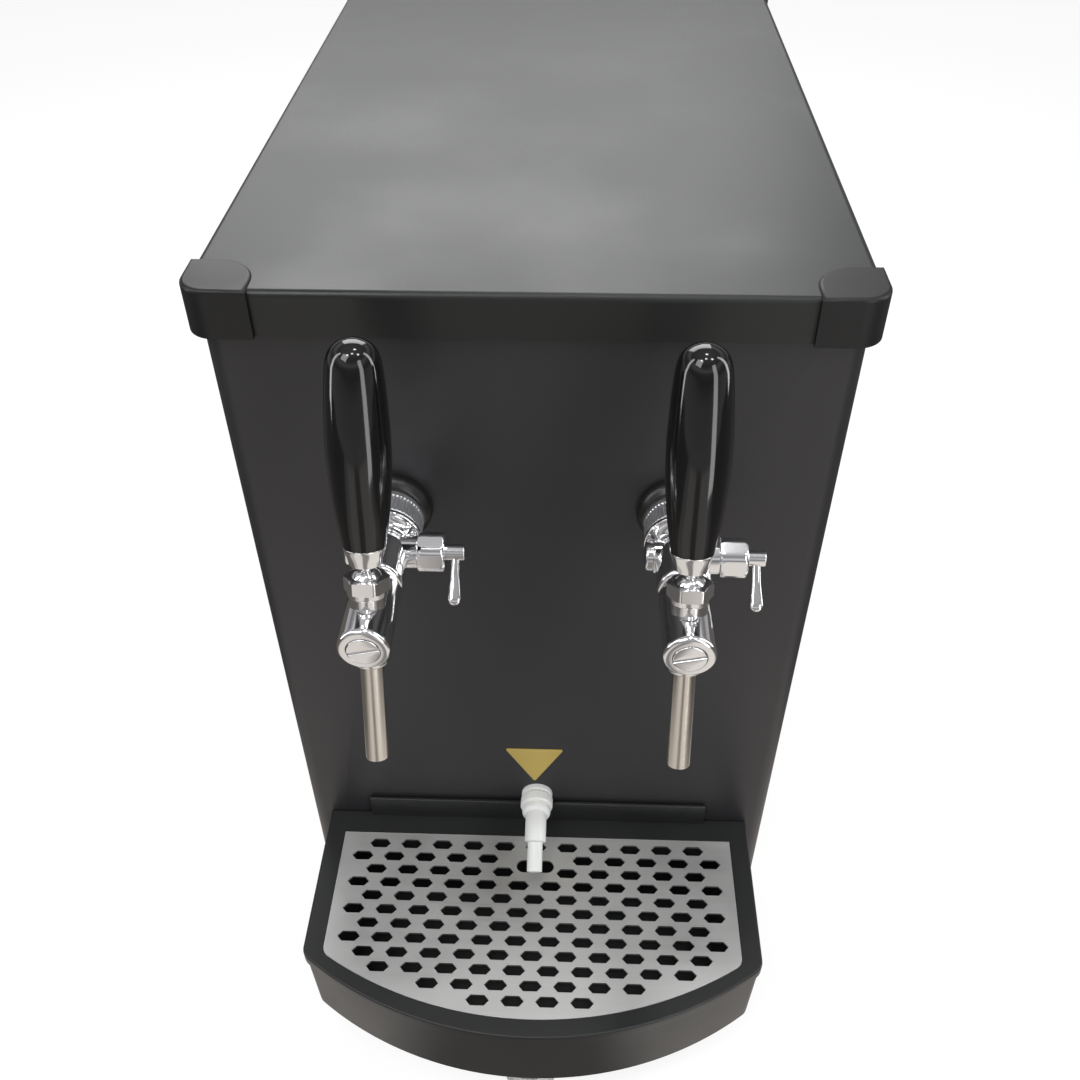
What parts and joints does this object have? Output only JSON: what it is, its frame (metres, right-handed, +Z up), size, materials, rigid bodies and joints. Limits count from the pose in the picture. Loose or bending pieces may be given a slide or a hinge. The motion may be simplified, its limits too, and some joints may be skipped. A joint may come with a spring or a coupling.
{
  "type": "beer dispenser",
  "caption": "Counter-top beer cooler with tilted tap handles, flow levers, a bowed drip tray with grid, drain nozzle, lift-off lid and rear water-bath cooling plant.",
  "frame": {"origin": "bottom centre of the bounding box, on the worktop under the middle of the machine", "axes": "+X to the right of a person who faces the taps, +Y from the taps towards the back, +Z up"},
  "size_m": [0.3164, 0.6546, 0.4798],
  "materials": {
    "panel_black": "satin fine-grain powder coat",
    "lid_black": "satin fine-grain powder coat",
    "plain_steel": "mill-finish zinc-plated sheet",
    "stainless": "brushed stainless steel",
    "chrome": "polished chrome plate",
    "cap_plastic": "matte black moulded plastic",
    "tray_plastic": "fine-textured black plastic",
    "grip_black": "gloss black turned grip",
    "nozzle_plastic": "translucent white plastic",
    "foot_plastic": "light grey moulded plastic",
    "rubber": "black rubber",
    "insulation": "cut foam block",
    "tank_plastic": "formed white plastic sheet",
    "copper": "drawn copper tube",
    "machine_black": "gloss black enamel",
    "aluminium": "plain aluminium fin",
    "control_black": "black moulded plastic",
    "brass": "turned brass"
  },
  "bodies": {
    "cabinet": {"base_pan": "plain_steel", "front_panel": "panel_black", "side_panel_left": "panel_black", "side_panel_right": "panel_black", "rear_panel": "panel_black", "rubber_feet": "rubber", "tray_shelf": "panel_black", "panel_screws": "chrome", "water_tank": "tank_plastic", "tank_insulation": "insulation", "evaporator_coil": "copper", "product_coils": "stainless", "agitator_bracket": "plain_steel", "agitator_motor": "machine_black", "compressor": "machine_black", "condenser": "aluminium", "fan_shroud": "machine_black", "fan_motor": "machine_black", "thermostat_body": "control_black", "switch_body": "control_black", "power_inlet": "control_black", "beer_inlets": "chrome", "nozzle_bulkhead": "nozzle_plastic", "tap_shanks": "chrome", "wall_collars": "cap_plastic", "shank_nuts": "chrome", "vent_screws": "chrome", "coupling_ring_left": "chrome", "tap_body_left": "chrome", "bonnet_nut_left": "chrome", "front_plug_left": "chrome", "spout_left": "stainless", "flow_gland_left": "chrome", "coupling_ring_right": "chrome", "tap_body_right": "chrome", "bonnet_nut_right": "chrome", "front_plug_right": "chrome", "spout_right": "stainless", "flow_gland_right": "chrome"},
    "tap_lever_left": {"lever_stem_left": "chrome", "handle_grip_left": "grip_black"},
    "spool_left": {"spool_left": "stainless"},
    "flow_lever_left": {"flow_lever_left": "chrome"},
    "flow_cone_left": {"flow_cone_left": "brass"},
    "tap_lever_right": {"lever_stem_right": "chrome", "handle_grip_right": "grip_black"},
    "spool_right": {"spool_right": "stainless"},
    "flow_lever_right": {"flow_lever_right": "chrome"},
    "flow_cone_right": {"flow_cone_right": "brass"},
    "lid": {"lid_cover": "lid_black", "corner_caps": "cap_plastic"},
    "drip_tray": {"drip_tray": "tray_plastic", "tray_foot": "foot_plastic"},
    "drip_grid": {"drip_grid": "stainless"},
    "drain_nozzle": {"drain_nozzle": "nozzle_plastic"},
    "thermostat_dial": {"thermostat_dial": "control_black"},
    "switch_rocker": {"switch_rocker": "control_black"},
    "agitator_impeller": {"agitator_impeller": "stainless"},
    "fan_blade": {"fan_blade": "control_black"}
  },
  "joints": [
    {"name": "tap_pull_left", "type": "hinge", "parent": "cabinet", "child": "tap_lever_left", "pos_m": [-0.073, -0.25125, 0.37167], "axis": [1, 0, 0], "range_deg": [0, 32]},
    {"name": "spool_slide_left", "type": "slide", "parent": "cabinet", "child": "spool_left", "axis": [0, 1, 0], "range_m": [0, 0.011]},
    {"name": "flow_turn_left", "type": "hinge", "parent": "cabinet", "child": "flow_lever_left", "pos_m": [-0.073, -0.212, 0.3555], "axis": [1, 0, 0], "range_deg": [-45, 45]},
    {"name": "flow_cone_slide_left", "type": "slide", "parent": "cabinet", "child": "flow_cone_left", "axis": [0, 1, 0], "range_m": [-0.00284, 0.00284]},
    {"name": "tap_pull_right", "type": "hinge", "parent": "cabinet", "child": "tap_lever_right", "pos_m": [0.073, -0.25125, 0.37167], "axis": [1, 0, 0], "range_deg": [0, 32]},
    {"name": "spool_slide_right", "type": "slide", "parent": "cabinet", "child": "spool_right", "axis": [0, 1, 0], "range_m": [0, 0.011]},
    {"name": "flow_turn_right", "type": "hinge", "parent": "cabinet", "child": "flow_lever_right", "pos_m": [0.073, -0.212, 0.3555], "axis": [1, 0, 0], "range_deg": [-45, 45]},
    {"name": "flow_cone_slide_right", "type": "slide", "parent": "cabinet", "child": "flow_cone_right", "axis": [0, 1, 0], "range_m": [-0.00284, 0.00284]},
    {"name": "lid_lift", "type": "slide", "parent": "cabinet", "child": "lid", "axis": [0, 0, 1], "range_m": [0, 0.09]},
    {"name": "tray_slide", "type": "slide", "parent": "cabinet", "child": "drip_tray", "axis": [0, -1, 0], "range_m": [0, 0.19]},
    {"name": "grid_lift", "type": "slide", "parent": "drip_tray", "child": "drip_grid", "axis": [0, 0, 1], "range_m": [0, 0.008]},
    {"name": "nozzle_swivel", "type": "hinge", "parent": "cabinet", "child": "drain_nozzle", "pos_m": [0, -0.1807, 0.112], "axis": [0, 1, 0], "range_deg": [-90, 90]},
    {"name": "thermostat_turn", "type": "hinge", "parent": "cabinet", "child": "thermostat_dial", "pos_m": [-0.078, 0.3033, 0.312], "axis": [0, 1, 0], "range_deg": [0, 270]},
    {"name": "switch_rock", "type": "hinge", "parent": "cabinet", "child": "switch_rocker", "pos_m": [-0.052, 0.3023, 0.232], "axis": [0, 0, 1], "range_deg": [-18, 0]},
    {"name": "agitator_spin", "type": "hinge", "parent": "cabinet", "child": "agitator_impeller", "pos_m": [0, -0.0107, 0.15], "axis": [0, 0, 1], "continuous": true},
    {"name": "fan_spin", "type": "hinge", "parent": "cabinet", "child": "fan_blade", "pos_m": [0.074, 0.26, 0.0872], "axis": [0, 1, 0], "continuous": true}
  ],
  "couplings": [
    {"joint": "spool_slide_left", "follows": "tap_pull_left", "m_per_rad": 0.01968},
    {"joint": "flow_cone_slide_left", "follows": "flow_turn_left", "m_per_rad": 0.0036},
    {"joint": "spool_slide_right", "follows": "tap_pull_right", "m_per_rad": 0.01968},
    {"joint": "flow_cone_slide_right", "follows": "flow_turn_right", "m_per_rad": 0.0036}
  ]
}
